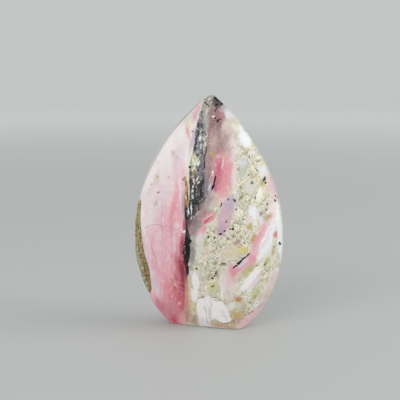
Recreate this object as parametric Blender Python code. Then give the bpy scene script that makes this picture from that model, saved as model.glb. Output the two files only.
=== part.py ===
"""Pink opal flame: one solid of polished stone that stands on a flat cut.

Metres, +Z up. The origin is the middle of the base, and -Y is the polished front.
The stone is lofted from level cuts. Each cut is a ring of five arcs that meet at the crest of the
front, the front edge of the left wall, its back edge, the crest of the back and the right rim.
"""

import bmesh
import bpy
import numpy as np
from mathutils import Vector, noise

MM = 0.001
HEIGHT = 110.0

# Outline as the front shows it: height of each level, left side, right side (mm)
LEVELS = (0, 6, 14, 26, 44, 62, 78, 92, 103, 108.4, 110)
LEFT_SIDE = (-18.5, -24.1, -29.3, -34.1, -35.8, -32.9, -27.1, -18.1, -7.9, -1.6, 1.2)
RIGHT_SIDE = (16.9, 22.7, 27.9, 32.7, 34.8, 32.7, 26.5, 17.9, 9.6, 3.7, 2.2)

# Crest of the front: it drops straight from the tip as a ridge, then swells to the right
FRONT_X = (13.0, 12.8, 12.4, 11.5, 9.0, 2.5, -0.9, -0.3, 0.9, 1.6, 1.7)
FRONT_Y = (-7.3, -9.0, -10.9, -12.9, -14.0, -12.8, -10.2, -7.2, -3.9, -1.3, -0.4)
FRONT_ROUND_LEFT = (1.35, 1.4, 1.5, 1.7, 1.9, 1.75, 1.35, 1.22, 1.2, 1.25, 1.4)
FRONT_ROUND_RIGHT = (1.9, 2.0, 2.0, 2.0, 2.0, 1.75, 1.35, 1.22, 1.2, 1.25, 1.4)

# Crest of the back and the depth of the right rim
BACK_X = (-2.0, -2.5, -3.5, -4.5, -5.0, -4.5, -3.5, -1.5, 0.6, 1.5, 1.7)
BACK_Y = (11.5, 13.6, 15.6, 17.4, 18.4, 17.4, 14.4, 9.9, 5.0, 1.7, 0.6)
RIGHT_Y = (-3.0, -3.0, -3.0, -3.0, -2.4, -1.2, 0.2, 1.2, 1.0, 0.3, 0.1)

# Left wall: how much of it the front shows, where it starts and how deep it runs
WALL_LEVELS = (0, 6, 12, 17, 23, 29, 35, 44, 50, 57, 64, 72, 80, 90, 100, 108, 110)
WALL_SHOWS = (0.3, 0.4, 0.9, 3.2, 4.5, 4.9, 4.0, 2.8, 1.8, 0.9, 0.5, 0.9, 1.3, 0.9, 0.5, 0.2, 0.1)
WALL_DEEP = (4.0, 5.0, 6.5, 8.0, 9.0, 9.5, 9.5, 9.5, 9.0, 8.5, 7.5, 6.5, 5.5, 4.0, 2.2, 0.6, 0.2)
WALL_Y = (4.8, 4.6, 4.0, 3.2, 2.6, 2.2, 2.0, 2.0, 2.0, 2.0, 2.0, 2.0, 1.8, 1.4, 0.8, 0.3, 0.1)
LEFT_EDGE_ROUND = (1.0, 1.05, 1.1, 1.15, 1.2, 1.25, 1.3, 1.3, 1.3, 1.3, 1.3)

RIM_ROUND = 1.8
BACK_ROUND = 2.0
WALL_BULGE = 0.5

# Natural skin that was never polished, low on the left wall
SKIN_LOW, SKIN_HIGH, SKIN_FADE = 12.0, 56.0, 4.0
SKIN_ROUGH, SKIN_SINK, SKIN_GRAIN = 0.45, 0.15, 3.2

BASE_ROUND = 0.8
BASE_STEPS = (0.0, 0.12, 0.4, BASE_ROUND)
RINGS = 46
# Steps along each arc of a cut, in the order that the cut is walked
FRONT_LEFT, WALL, BACK_LEFT, BACK_RIGHT, FRONT_RIGHT = 16, 6, 13, 14, 12
AROUND = FRONT_LEFT + WALL + BACK_LEFT + BACK_RIGHT + FRONT_RIGHT


def between(height, levels, values):
    """The value at a height on a smooth curve through the values at their levels."""
    levels, values = np.array(levels, float), np.array(values, float)
    slopes = np.gradient(values, levels)
    i = int(np.clip(np.searchsorted(levels, height) - 1, 0, len(levels) - 2))
    span = levels[i + 1] - levels[i]
    t = (height - levels[i]) / span
    start, end = values[i], values[i + 1]
    return (
        start * (1 + 2 * t) * (1 - t) ** 2
        + slopes[i] * span * t * (1 - t) ** 2
        + end * t * t * (3 - 2 * t)
        - slopes[i + 1] * span * t * t * (1 - t)
    )


def arc(rim, crest, rim_round, crest_round, steps):
    """Evenly spaced points on a quarter of a superellipse, from the rim up to the crest."""
    t = np.linspace(0, np.pi / 2, 181)
    x = crest[0] + (rim[0] - crest[0]) * np.cos(t) ** (2 / crest_round)
    y = rim[1] + (crest[1] - rim[1]) * np.sin(t) ** (2 / rim_round)
    length = np.concatenate([[0], np.cumsum(np.hypot(np.diff(x), np.diff(y)))])
    even = np.linspace(0, length[-1], steps + 1)
    return np.stack([np.interp(even, length, x), np.interp(even, length, y)], axis=1)


def wall(front_edge, back_edge, steps):
    """Points on the left wall, which bows out a little between its two edges."""
    share = np.linspace(0, 1, steps + 1)[:, None]
    bow = WALL_BULGE * np.sin(np.pi * share) * min(1, (back_edge[1] - front_edge[1]) / 8)
    return front_edge + (back_edge - front_edge) * share - bow * np.array([1.0, 0.0])


def cut(height):
    """The ring of points around the stone at a height, walked from the front crest to the left."""
    away = max(0.0, 1 - height / BASE_ROUND)
    inset = BASE_ROUND * (1 - np.sqrt(1 - away * away))

    def at(values, levels=LEVELS):
        return between(height, levels, values)

    left = at(LEFT_SIDE) + inset
    front = np.array([at(FRONT_X), at(FRONT_Y) + inset])
    right = np.array([at(RIGHT_SIDE) - inset, at(RIGHT_Y)])
    back = np.array([at(BACK_X), at(BACK_Y) - inset])
    front_edge = np.array([left + at(WALL_SHOWS, WALL_LEVELS), at(WALL_Y, WALL_LEVELS)])
    back_edge = np.array([left, front_edge[1] + at(WALL_DEEP, WALL_LEVELS)])
    arcs = (
        arc(front_edge, front, at(LEFT_EDGE_ROUND), at(FRONT_ROUND_LEFT), FRONT_LEFT)[::-1],
        wall(front_edge, back_edge, WALL),
        arc(back_edge, back, RIM_ROUND, BACK_ROUND, BACK_LEFT),
        arc(right, back, RIM_ROUND, BACK_ROUND, BACK_RIGHT)[::-1],
        arc(right, front, RIM_ROUND, at(FRONT_ROUND_RIGHT), FRONT_RIGHT),
    )
    return np.concatenate([a[:-1] for a in arcs] + [front[None]])


def heights():
    """Heights of the cuts, spaced along the outline so that the steep tip and foot get their share."""
    fine = np.linspace(BASE_ROUND, HEIGHT, 400)
    half = np.array([(between(z, LEVELS, RIGHT_SIDE) - between(z, LEVELS, LEFT_SIDE)) / 2 for z in fine])
    length = np.concatenate([[0], np.cumsum(np.hypot(np.diff(fine), np.diff(half)))])
    even = np.linspace(0, length[-1], RINGS - len(BASE_STEPS) + 1)
    return np.concatenate([BASE_STEPS[:-1], np.interp(even, length, fine)])


def roughen(bm):
    """Sinks and pits the natural skin on the left wall."""
    bm.normal_update()
    for vert in bm.verts:
        x, y, z = vert.co
        shown = between(z, WALL_LEVELS, WALL_SHOWS)
        inside = between(z, LEVELS, LEFT_SIDE) + shown + 0.1 - x
        in_height = min(z - SKIN_LOW, SKIN_HIGH - z)
        if inside < 0 or in_height < 0 or y > between(z, WALL_LEVELS, WALL_Y) + 14:
            continue
        amount = min(1.0, in_height / SKIN_FADE) * min(1.0, 0.3 + inside)
        bumps = noise.fractal(vert.co / SKIN_GRAIN, 0.8, 2.0, 3)
        vert.co += vert.normal * amount * (SKIN_ROUGH * bumps - SKIN_SINK)


def make_stone():
    """Wraps a grid round the cuts, closes its seam and tip, and caps the flat base."""
    bm = bmesh.new()
    bmesh.ops.create_grid(bm, x_segments=AROUND, y_segments=RINGS - 1, size=0.5)
    rings = [cut(z) for z in heights()]
    levels = heights()
    for vert in bm.verts:
        column = round((vert.co.x + 0.5) * AROUND)
        row = round((vert.co.y + 0.5) * (RINGS - 1))
        vert.co = Vector((*rings[row][column], levels[row]))
    tip = [v for v in bm.verts if v.co.z > HEIGHT - 0.001]
    middle = sum((v.co for v in tip), Vector()) / len(tip)
    bmesh.ops.pointmerge(bm, verts=tip, merge_co=middle)
    bmesh.ops.remove_doubles(bm, verts=bm.verts, dist=0.001)
    bmesh.ops.holes_fill(bm, edges=[e for e in bm.edges if e.is_boundary], sides=0)
    bmesh.ops.recalc_face_normals(bm, faces=bm.faces)
    roughen(bm)
    low, high = corners(bm)
    to_origin = Vector((-(low.x + high.x) / 2, -(low.y + high.y) / 2, -low.z))
    bmesh.ops.translate(bm, verts=bm.verts, vec=to_origin)
    bmesh.ops.scale(bm, verts=bm.verts, vec=Vector((MM, MM, MM)))
    mesh = bpy.data.meshes.new("stone")
    bm.to_mesh(mesh)
    bm.free()
    mesh.shade_smooth()
    mesh.set_sharp_from_angle(angle=np.radians(35))
    return mesh


def corners(bm):
    """Lowest and highest corner of the mesh."""
    places = np.array([v.co for v in bm.verts])
    return Vector(places.min(axis=0)), Vector(places.max(axis=0))


def opal_material():
    """Polished pink opal as one plain colour."""
    material = bpy.data.materials.new("pink_opal")
    material.use_nodes = True
    shader = material.node_tree.nodes["Principled BSDF"]
    shader.inputs["Base Color"].default_value = (0.74, 0.55, 0.52, 1)
    shader.inputs["Roughness"].default_value = 0.18
    shader.inputs["Metallic"].default_value = 0.0
    return material


for old in list(bpy.data.objects):
    bpy.data.objects.remove(old)
stone = bpy.data.objects.new("pink_opal_stone", make_stone())
stone.data.materials.append(opal_material())
bpy.context.scene.collection.objects.link(stone)
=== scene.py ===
"""A flame-shaped freeform of polished pink opal, standing on its flat cut on a pale floor."""

import functools

import bmesh
import bpy
import numpy as np
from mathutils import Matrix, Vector, noise


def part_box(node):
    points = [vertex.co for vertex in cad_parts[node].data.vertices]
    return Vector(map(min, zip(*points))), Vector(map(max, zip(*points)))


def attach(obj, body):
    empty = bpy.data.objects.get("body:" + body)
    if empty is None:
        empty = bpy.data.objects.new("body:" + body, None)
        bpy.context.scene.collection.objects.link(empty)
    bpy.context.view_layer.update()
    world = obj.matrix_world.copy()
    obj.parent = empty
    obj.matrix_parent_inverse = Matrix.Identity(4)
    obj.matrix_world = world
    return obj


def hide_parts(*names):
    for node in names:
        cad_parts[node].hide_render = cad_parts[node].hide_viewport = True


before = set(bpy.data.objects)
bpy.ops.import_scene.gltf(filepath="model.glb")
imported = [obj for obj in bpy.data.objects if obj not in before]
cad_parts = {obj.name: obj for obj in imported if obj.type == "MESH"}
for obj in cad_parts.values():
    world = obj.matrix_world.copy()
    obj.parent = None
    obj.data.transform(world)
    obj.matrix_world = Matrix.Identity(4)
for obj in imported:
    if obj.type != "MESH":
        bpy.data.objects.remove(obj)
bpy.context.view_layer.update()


# The stone's form. One piece of opal, ground to a flame and polished all over but for a patch of
# natural skin low on the left wall. Level cuts are lofted from the flat base to the tip, and each cut
# is five arcs between the crest of the front, the left wall, the crest of the back and the right rim.

MM = 0.001
HEIGHT = 110.0
LEVELS = (0, 6, 14, 26, 44, 62, 78, 92, 103, 108.4, 110)
LEFT_SIDE = (-18.5, -24.1, -29.3, -34.1, -35.8, -32.9, -27.1, -18.1, -7.9, -1.6, 1.2)
RIGHT_SIDE = (16.9, 22.7, 27.9, 32.7, 34.8, 32.7, 26.5, 17.9, 9.6, 3.7, 2.2)
RIGHT_Y = (-3.0, -3.0, -3.0, -3.0, -2.4, -1.2, 0.2, 1.2, 1.0, 0.3, 0.1)

# Crest of the front, which drops from the tip as a soft ridge and then swells to the right
FRONT_X = (13.0, 12.8, 12.4, 11.5, 9.0, 2.5, -0.9, -0.3, 0.9, 1.6, 1.7)
FRONT_Y = (-7.3, -9.0, -10.9, -12.9, -14.0, -12.8, -10.2, -7.2, -3.9, -1.3, -0.4)
FRONT_ROUND_LEFT = (1.35, 1.4, 1.5, 1.7, 1.9, 1.75, 1.35, 1.22, 1.2, 1.25, 1.4)
FRONT_ROUND_RIGHT = (1.9, 2.0, 2.0, 2.0, 2.0, 1.75, 1.35, 1.22, 1.2, 1.25, 1.4)

BACK_X = (-2.0, -2.5, -3.5, -4.5, -5.0, -4.5, -3.5, -1.5, 0.6, 1.5, 1.7)
BACK_Y = (11.5, 13.6, 15.6, 17.4, 18.4, 17.4, 14.4, 9.9, 5.0, 1.7, 0.6)

# Left wall: how much of it the front shows, how deep it runs and where it starts
WALL_LEVELS = (0, 6, 12, 17, 23, 29, 35, 44, 50, 57, 64, 72, 80, 90, 100, 108, 110)
WALL_SHOWS = (0.3, 0.4, 0.9, 3.2, 4.5, 4.9, 4.0, 2.8, 1.8, 0.9, 0.5, 0.9, 1.3, 0.9, 0.5, 0.2, 0.1)
WALL_DEEP = (4.0, 5.0, 6.5, 8.0, 9.0, 9.5, 9.5, 9.5, 9.0, 8.5, 7.5, 6.5, 5.5, 4.0, 2.2, 0.6, 0.2)
WALL_Y = (4.8, 4.6, 4.0, 3.2, 2.6, 2.2, 2.0, 2.0, 2.0, 2.0, 2.0, 2.0, 1.8, 1.4, 0.8, 0.3, 0.1)
LEFT_EDGE_ROUND = (1.0, 1.05, 1.1, 1.15, 1.2, 1.25, 1.3, 1.3, 1.3, 1.3, 1.3)
RIM_ROUND, BACK_ROUND = 1.8, 2.0
WALL_BULGE, WALL_WIDE = 0.5, 8.0

BASE_ROUND = 0.8
BASE_STEPS = (0.0, 0.06, 0.16, 0.32, 0.54, BASE_ROUND)
RINGS = 320
ARC_SAMPLES, OUTLINE_SAMPLES = 361, 1200
FRONT_LEFT, WALL, BACK_LEFT, BACK_RIGHT, FRONT_RIGHT = 84, 30, 56, 66, 62
AROUND = FRONT_LEFT + WALL + BACK_LEFT + BACK_RIGHT + FRONT_RIGHT
MERGE_WITHIN = 0.0005
SHARP_FROM = 40.0

# Natural skin that was never polished, and the softer vein, which the polish cut a little deeper
SKIN_LOW, SKIN_HIGH, SKIN_FADE, SKIN_WANDER = 15.0, 62.0, 4.0, 4.0
SKIN_PAST_EDGE, SKIN_PAST_BACK, SKIN_NARROWS_BELOW = 1.1, 2.0, 27.0
SKIN_LUMP, SKIN_ROUGH, SKIN_SINK = 3.2, 0.4, 0.15
SKIN_PIT, SKIN_PIT_DEEP = 1.1, 0.35
VEIN_LOW, VEIN_HIGH, VEIN_FADE = 24.0, 108.0, 6.0
VEIN_SINK, VEIN_GRAIN, VEIN_SHIFT = 0.18, 2.4, 0.5


@functools.lru_cache(maxsize=None)
def between(height, levels, values):
    """The value at a height on a smooth curve through the values at their levels."""
    levels, values = np.array(levels, float), np.array(values, float)
    slopes = np.gradient(values, levels)
    i = int(np.clip(np.searchsorted(levels, height) - 1, 0, len(levels) - 2))
    span = levels[i + 1] - levels[i]
    t = (height - levels[i]) / span
    return (
        values[i] * (1 + 2 * t) * (1 - t) ** 2
        + slopes[i] * span * t * (1 - t) ** 2
        + values[i + 1] * t * t * (3 - 2 * t)
        - slopes[i + 1] * span * t * t * (1 - t)
    )


def arc(rim, crest, rim_round, crest_round, steps):
    """Evenly spaced points on a quarter of a superellipse, from the rim up to the crest."""
    t = np.linspace(0, np.pi / 2, ARC_SAMPLES)
    x = crest[0] + (rim[0] - crest[0]) * np.cos(t) ** (2 / crest_round)
    y = rim[1] + (crest[1] - rim[1]) * np.sin(t) ** (2 / rim_round)
    length = np.concatenate([[0], np.cumsum(np.hypot(np.diff(x), np.diff(y)))])
    even = np.linspace(0, length[-1], steps + 1)
    return np.stack([np.interp(even, length, x), np.interp(even, length, y)], axis=1)


def left_wall(front_edge, back_edge):
    """Points on the left wall, which bows out a little between its two edges."""
    share = np.linspace(0, 1, WALL + 1)[:, None]
    bow = WALL_BULGE * np.sin(np.pi * share) * min(1, (back_edge[1] - front_edge[1]) / WALL_WIDE)
    return front_edge + (back_edge - front_edge) * share - bow * np.array([1.0, 0.0])


def cut(height):
    """The ring of points around the stone at a height, walked from the front crest to the left."""
    away = max(0.0, 1 - height / BASE_ROUND)
    inset = BASE_ROUND * (1 - np.sqrt(1 - away * away))

    def at(values, levels=LEVELS):
        return between(height, levels, values)

    left = at(LEFT_SIDE) + inset
    front = np.array([at(FRONT_X), at(FRONT_Y) + inset])
    right = np.array([at(RIGHT_SIDE) - inset, at(RIGHT_Y)])
    back = np.array([at(BACK_X), at(BACK_Y) - inset])
    front_edge = np.array([left + at(WALL_SHOWS, WALL_LEVELS), at(WALL_Y, WALL_LEVELS)])
    back_edge = np.array([left, front_edge[1] + at(WALL_DEEP, WALL_LEVELS)])
    arcs = (
        arc(front_edge, front, at(LEFT_EDGE_ROUND), at(FRONT_ROUND_LEFT), FRONT_LEFT)[::-1],
        left_wall(front_edge, back_edge),
        arc(back_edge, back, RIM_ROUND, BACK_ROUND, BACK_LEFT),
        arc(right, back, RIM_ROUND, BACK_ROUND, BACK_RIGHT)[::-1],
        arc(right, front, RIM_ROUND, at(FRONT_ROUND_RIGHT), FRONT_RIGHT),
    )
    return np.concatenate([a[:-1] for a in arcs] + [front[None]])


def heights():
    """Heights of the cuts, spaced along the outline so that the steep tip and foot get their share."""
    fine = np.linspace(BASE_ROUND, HEIGHT, OUTLINE_SAMPLES)
    half = np.array([(between(z, LEVELS, RIGHT_SIDE) - between(z, LEVELS, LEFT_SIDE)) / 2 for z in fine])
    length = np.concatenate([[0], np.cumsum(np.hypot(np.diff(fine), np.diff(half)))])
    even = np.linspace(0, length[-1], RINGS - len(BASE_STEPS) + 1)
    return np.concatenate([BASE_STEPS[:-1], np.interp(even, length, fine)])


levels = heights()
rings = [cut(z) for z in levels]
ground = np.concatenate([np.column_stack([ring, np.full(len(ring), z)]) for ring, z in zip(rings, levels)])
node_low, node_high = (np.array(corner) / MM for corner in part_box("pink_opal_stone"))
stretch = (node_high - node_low) / (ground.max(axis=0) - ground.min(axis=0))
shift = node_low - ground.min(axis=0) * stretch


def front_at(x, z):
    """How far forward the front face lies at a place, in mm."""
    ring = cut((z - shift[2]) / stretch[2]) * stretch[:2] + shift[:2]
    face = np.concatenate([ring[FRONT_LEFT::-1], ring[: -FRONT_RIGHT - 2 : -1]])
    return float(np.interp(x, face[:, 0], face[:, 1]))


# The two contacts of the dark vein on the front, from the tip down: heights and places across (mm)
VEIN_HEIGHTS = (
    110.0, 104.0, 97.5, 91.0, 85.0, 78.0, 71.0, 66.0, 60.0,
    55.0, 50.0, 44.0, 38.5, 33.0, 27.5, 19.0, 3.0, 0.0,
)
VEIN_LEFT = (
    -1.5, -2.9, -5.0, -6.3, -6.9, -8.6, -9.0, -9.8, -11.0,
    -10.6, -10.1, -10.6, -11.5, -11.2, -10.3, -9.9, -10.7, -10.9,
)
VEIN_RIGHT = (
    1.7, 0.8, 0.0, -0.4, -1.0, -1.4, -1.6, -1.7, -3.0,
    -6.5, -9.3, -8.2, -8.2, -9.0, -10.1, -10.9, -11.2, -11.3,
)
LAYER_TILT = 0.35


def along(heights_down, values, z):
    """The place of a contact at a height."""
    return np.interp(z, heights_down[::-1], values[::-1])


stone_bm = bmesh.new()
skin_layer = stone_bm.verts.layers.float.new("skin")
wall_layer = stone_bm.verts.layers.float.new("wall")
bmesh.ops.create_grid(stone_bm, x_segments=AROUND, y_segments=RINGS - 1, size=0.5)
for vert in stone_bm.verts:
    column = round((vert.co.x + 0.5) * AROUND)
    row = round((vert.co.y + 0.5) * (RINGS - 1))
    vert.co = Vector((*rings[row][column], levels[row]))
    vert[wall_layer] = float(FRONT_LEFT < column < FRONT_LEFT + WALL)
tip = [v for v in stone_bm.verts if v.co.z > HEIGHT - 2 * MERGE_WITHIN]
bmesh.ops.pointmerge(stone_bm, verts=tip, merge_co=sum((v.co for v in tip), Vector()) / len(tip))
bmesh.ops.remove_doubles(stone_bm, verts=stone_bm.verts, dist=MERGE_WITHIN)
base_cut = bmesh.ops.holes_fill(stone_bm, edges=[e for e in stone_bm.edges if e.is_boundary], sides=0)
bmesh.ops.poke(stone_bm, faces=base_cut["faces"])
bmesh.ops.recalc_face_normals(stone_bm, faces=stone_bm.faces)

# The skin is pitted and a little sunken, and the vein lies a hair below the polish. The wall and the
# skin are kept on the mesh, because the skin's colours and the wall's grey and painted shade follow the
# wall's own edges.
stone_bm.normal_update()
for vert in stone_bm.verts:
    x, y, z = vert.co
    shown = between(z, WALL_LEVELS, WALL_SHOWS)
    wall_y = between(z, WALL_LEVELS, WALL_Y)
    narrower = 0.1 * max(0.0, SKIN_NARROWS_BELOW - z)
    inside = between(z, LEVELS, LEFT_SIDE) + shown + SKIN_PAST_EDGE - narrower - x
    wander = SKIN_WANDER * noise.noise(Vector((3.0, y / 8.0, z / 9.0)))
    in_height = min(z - SKIN_LOW, SKIN_HIGH - z - 1.2 * max(0.0, y - 6.0)) + wander
    back_limit = wall_y + between(z, WALL_LEVELS, WALL_DEEP) + SKIN_PAST_BACK
    ripple = noise.noise(Vector((9.0, 0.0, z / 4.0)))
    swing = 3.0 * noise.noise(Vector((4.0, 0.0, z / 13.0)))
    in_depth = back_limit - y + ripple + swing
    if inside > 0 and in_height > 0 and in_depth > 0:
        skin = min(1.0, in_height / SKIN_FADE) * min(1.0, 0.3 + inside) * min(1.0, in_depth / 2)
        lumps = noise.fractal(vert.co / SKIN_LUMP, 0.8, 2.0, 3)
        pits = min(0.0, noise.noise(vert.co / SKIN_PIT))
        vert[skin_layer] = skin
        vert.co += vert.normal * skin * (SKIN_ROUGH * lumps + SKIN_PIT_DEEP * pits - SKIN_SINK)
    elif vert.normal.y < -0.2 and z > VEIN_LOW:
        left = along(VEIN_HEIGHTS, VEIN_LEFT, z) - VEIN_SHIFT
        right = along(VEIN_HEIGHTS, VEIN_RIGHT, z) - VEIN_SHIFT
        deep = min(1.0, max(0.0, min(x - left, right - x))) * min(1.0, (VEIN_HIGH - z) / VEIN_FADE)
        uneven = 0.5 + noise.noise(vert.co / VEIN_GRAIN)
        vert.co -= vert.normal * max(0.0, deep) * VEIN_SINK * uneven

places = np.array([v.co for v in stone_bm.verts])
fit = (node_high - node_low) / (places.max(axis=0) - places.min(axis=0))
bmesh.ops.translate(stone_bm, verts=stone_bm.verts, vec=Vector(-places.min(axis=0)))
bmesh.ops.scale(stone_bm, verts=stone_bm.verts, vec=Vector(fit))
bmesh.ops.translate(stone_bm, verts=stone_bm.verts, vec=Vector(node_low))
bmesh.ops.scale(stone_bm, verts=stone_bm.verts, vec=Vector((MM, MM, MM)))
stone_mesh = bpy.data.meshes.new("polished_opal")
stone_bm.to_mesh(stone_mesh)
stone_bm.free()
stone_mesh.shade_smooth()
stone_mesh.set_sharp_from_angle(angle=np.radians(SHARP_FROM))
stone = bpy.data.objects.new("polished_opal", stone_mesh)
bpy.context.scene.collection.objects.link(stone)


# The stone's look. Pink and white opal lies in layers on the left, a dark vein with black, bronze and
# cream in it follows, and the right is a breccia: broken bits of opal in a fine green-cream host.
# Colours are as the eye sees them, 0 to 255. Places are in mm on the front: across, up.

COLOURS = {
    "milk": (246, 240, 239),
    "milk_pink": (236, 222, 223),
    "blush": (231, 197, 205),
    "rose": (234, 172, 185),
    "lilac_white": (222, 203, 212),
    "magenta": (200, 122, 146),
    "salmon": (232, 150, 162),
    "pale_rose": (228, 167, 175),
    "dull_mauve": (196, 152, 163),
    "deep_red": (165, 62, 82),
    "brick": (196, 88, 101),
    "dusty_rose": (208, 134, 144),
    "foot_coral": (226, 134, 146),
    "plum_red": (138, 56, 70),
    "amber_pink": (206, 142, 128),
    "foot_brown": (184, 146, 128),
    "rose_pale": (224, 178, 184),
    "straw": (232, 218, 186),
    "grey_blush": (215, 200, 195),
    "grey_olive": (195, 185, 165),
    "stone_grey": (182, 178, 168),
    "grey_brown": (170, 160, 150),
    "slate_light": (130, 140, 145),
    "lilac_grey": (180, 168, 180),
    "straw_green": (215, 215, 185),
    "cream_line": (222, 218, 190),
    "grey_lilac": (124, 119, 129),
    "tan": (165, 145, 115),
    "slate": (78, 75, 87),
    "bronze": (150, 110, 50),
    "amber": (190, 140, 90),
    "mauve_grey": (142, 122, 125),
    "ash": (152, 144, 138),
    "black": (16, 15, 19),
    "mauve_brown": (145, 115, 115),
    "mauve_pale": (164, 136, 134),
    "mauve_pink": (178, 131, 138),
    "plum_rose": (185, 120, 136),
    "dark_taupe": (94, 82, 82),
    "cool_white": (236, 238, 240),
    "cream_rose": (217, 200, 189),
    "olive_cream": (192, 184, 148),
    "shell_pink": (230, 214, 214),
    "warm_grey": (165, 150, 150),
    "warm_cream": (206, 196, 180),
    "coral": (224, 154, 161),
    "deep_coral": (200, 110, 130),
    "plum": (190, 110, 140),
    "cool_grey": (216, 216, 220),
    "mid_grey": (196, 200, 188),
    "lilac_cool": (226, 222, 226),
    "rim_rose": (217, 186, 192),
    "lilac_rose": (211, 178, 188),
    "lilac": (194, 178, 194),
    "dusk_lilac": (195, 165, 180),
    "warm_white": (243, 240, 236),
    "pale_cream": (226, 225, 211),
    "rose_band": (228, 162, 174),
    "taupe_pink": (178, 154, 150),
    "rose_taupe": (198, 172, 168),
    "yellow_cream": (222, 201, 132),
    "sand": (222, 208, 181),
    "amber_tan": (200, 156, 112),
    "olive_gold": (190, 177, 112),
    "gold": (188, 170, 96),
    "red_spot": (215, 136, 131),
    "white_rose": (243, 237, 236),
    "rose_white": (229, 214, 210),
    "tan_rose": (196, 161, 139),
    "amber_rose": (205, 160, 136),
    "olive_pale": (200, 195, 132),
    "green_gold": (207, 205, 152),
    "orange": (188, 118, 56),
    "green_grey": (190, 187, 148),
    "ochre": (195, 175, 111),
    "foot_pink": (230, 194, 199),
    "crack": (192, 146, 158),
    "thread": (212, 152, 165),
    "cream": (222, 218, 198),
    "sage": (198, 204, 188),
    "cream_pink": (228, 208, 198),
    "bark": (96, 82, 54),
    "night": (24, 22, 30),
    "dusk_slate": (58, 53, 64),
    "dusk_grey": (120, 112, 119),
    "mauve_taupe": (146, 126, 127),
    "lilac_blush": (233, 213, 221),
    "peach": (210, 174, 150),
    "coal": (30, 28, 34),
    "dusk_brown": (88, 72, 76),
    "mauve_shadow": (134, 114, 119),
    "seam": (134, 122, 80),
    "worm": (240, 234, 204),
    "soot": (92, 84, 80),
    # Grey of the left wall: partly its ground face, partly painted shade
    "wall_grey": (196, 188, 182),
    "rust": (148, 114, 72),
    "lichen": (184, 186, 158),
    "skin_tan": (162, 142, 98),
    "skin_dark": (70, 60, 44),
    "pink_band": (236, 186, 193),
    "grit_white": (232, 230, 214),
    "skin_pale": (190, 174, 128),
    "skin_light": (214, 200, 152),
    "rose_light": (232, 192, 202),
    "dull_lilac": (200, 188, 200),
    "pink_white": (228, 208, 204),
    "pale_stone": (218, 215, 203),
    "foot_tan": (172, 150, 130),
    "tan_spot": (186, 158, 122),
    "ink": (26, 22, 22),
}


def paint(name):
    """A named colour as the shader wants it."""
    share = np.array(COLOURS[name]) / 255
    return (*np.where(share > 0.04045, ((share + 0.055) / 1.055) ** 2.4, share / 12.92), 1.0)


class Field:
    """One output in a material's node tree. Arithmetic on fields adds Math nodes."""

    tree = None

    def __init__(self, socket):
        self.socket = socket

    @classmethod
    def node(cls, kind, settings, sockets, output=0):
        """Adds a node with its settings, then the values or links of its sockets."""
        node = cls.tree.nodes.new("ShaderNode" + kind)
        for name, value in settings.items():
            if name == "curve":
                points = node.mapping.curves[0].points
                while len(points) < len(value):
                    points.new(0.5, 0.5)
                for point, place in zip(points, sorted(value)):
                    point.location = place
                node.mapping.update()
            elif name == "stops":
                stops = node.color_ramp.elements
                while len(stops) < len(value):
                    stops.new(0.5)
                for stop, (place, colour) in zip(stops, value):
                    stop.position, stop.color = place, colour
            elif name == "interpolation":
                node.color_ramp.interpolation = value
            else:
                setattr(node, name, value)
        for name, value in sockets.items():
            if isinstance(value, Field):
                cls.tree.links.new(value.socket, node.inputs[name])
            else:
                node.inputs[name].default_value = value
        return cls(node.outputs[output])

    @classmethod
    def group(cls, name, fields, build):
        """Adds a node group that build fills from its fields. Small trees take nodes faster."""
        kinds = {"VALUE": "NodeSocketFloat", "VECTOR": "NodeSocketVector", "RGBA": "NodeSocketColor"}
        outer, inner = cls.tree, bpy.data.node_groups.new(name, "ShaderNodeTree")
        for key, field in fields.items():
            inner.interface.new_socket(key, in_out="INPUT", socket_type=kinds[field.socket.type])
        cls.tree = inner
        entry = inner.nodes.new("NodeGroupInput")
        made = build(*[cls(entry.outputs[key]) for key in fields])
        inner.interface.new_socket("made", in_out="OUTPUT", socket_type=kinds[made.socket.type])
        leave = inner.nodes.new("NodeGroupOutput")
        inner.links.new(made.socket, leave.inputs["made"])
        cls.tree = outer
        return cls.node("Group", {"node_tree": inner}, fields)

    def out(self, name):
        """Another output of the same node."""
        return Field(self.socket.node.outputs[name])

    def red(self):
        """The red part of a colour, which serves as a number picked at random."""
        return Field.node("SeparateColor", {}, {0: self}, "Red")

    def math(self, operation, first, second):
        return Field.node("Math", {"operation": operation}, {0: first, 1: second})

    def __add__(self, other):
        return self.math("ADD", self, other)

    __radd__ = __add__

    def __sub__(self, other):
        return self.math("SUBTRACT", self, other)

    def __rsub__(self, other):
        return self.math("SUBTRACT", other, self)

    def __mul__(self, other):
        return self.math("MULTIPLY", self, other)

    __rmul__ = __mul__

    def highest(self, other):
        return self.math("MAXIMUM", self, other)

    def off(self, middle):
        """How far it is from a value, above or below."""
        return self.math("ABSOLUTE", self - middle, 0.0)

    def ramp(self, low, high, start=0.0, end=1.0):
        """From start, below low, to end, above high, with a smooth step between."""
        ends = {"Value": self, "From Min": low, "From Max": high, "To Min": start, "To Max": end}
        return Field.node("MapRange", {"interpolation_type": "SMOOTHSTEP", "clamp": False}, ends)

    def fade(self, low, high):
        """1 below low and 0 above high, with a smooth step between."""
        return self.ramp(low, high, 1.0, 0.0)


def over(mask, below, above):
    """Lays one colour over another where the mask is 1. A name stands for its colour."""
    below = paint(below) if isinstance(below, str) else below
    above = paint(above) if isinstance(above, str) else above
    # A Mix node keeps its two colours at inputs 6 and 7, and the mixed colour at output 2
    return Field.node("Mix", {"data_type": "RGBA"}, {0: mask, 6: below, 7: above}, 2)


def moved(place, **sockets):
    """A place scaled or turned by a Mapping node."""
    return Field.node("Mapping", {"vector_type": "POINT"}, {"Vector": place, **sockets})


def grain(place, size, detail=2.0, rough=0.5, twist=0.0, output="Fac"):
    """Noise with lumps of a size in mm, from 0 to 1."""
    values = {"Vector": place, "Scale": 1 / size, "Detail": detail, "Roughness": rough, "Distortion": twist}
    return Field.node("TexNoise", {}, values, output)


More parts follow.
